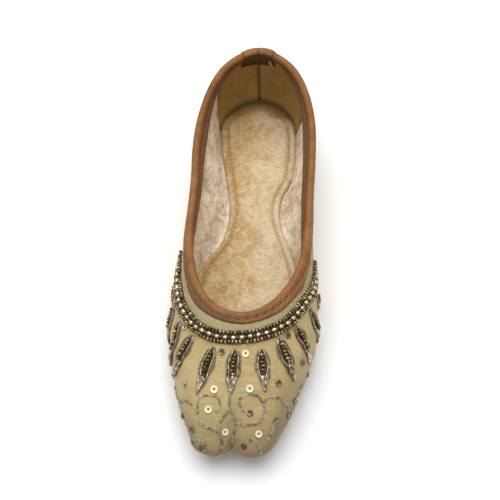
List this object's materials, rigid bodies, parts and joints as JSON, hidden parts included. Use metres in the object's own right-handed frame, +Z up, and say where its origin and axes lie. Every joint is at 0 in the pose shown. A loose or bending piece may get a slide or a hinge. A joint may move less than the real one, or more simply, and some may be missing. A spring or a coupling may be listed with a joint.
{
  "type": "mojari shoe",
  "caption": "Soft slip-on mojari shoe, left foot, with a hollow silk-covered upper, leather-bound collar, padded sock and thin leather sole on a low heel.",
  "frame": {"origin": "on the ground under the middle of the shoe's box", "axes": "+Z up; +Y to the heel, so the toe points to -Y; +X to the outer side of the left foot"},
  "size_m": [0.084, 0.2484, 0.0591],
  "materials": {
    "sole_leather": "tan sole leather, matt",
    "heel_leather": "stacked brown leather, waxed edge",
    "sock_velvet": "champagne crushed velvet",
    "upper_silk": "beige-gold raw silk with metal-thread embroidery",
    "binding_leather": "smooth tan leather, soft sheen",
    "tab_leather": "smooth tan leather, soft sheen",
    "lining_velvet": "silvery beige crushed velvet",
    "lining_leather": "golden brown smooth heel grip",
    "antique_gold": "dark antique gold beads",
    "silver_metal": "pale silver-gold beads and bullion wire",
    "gilt_sequin": "bright gold sequins",
    "thread": "sewing and metal thread"
  },
  "bodies": {
    "root": {"outsole": "sole_leather", "heel_lift": "heel_leather", "insole": "sock_velvet", "upper": "upper_silk", "collar_binding": "binding_leather", "heel_tab": "tab_leather"}
  },
  "joints": []
}
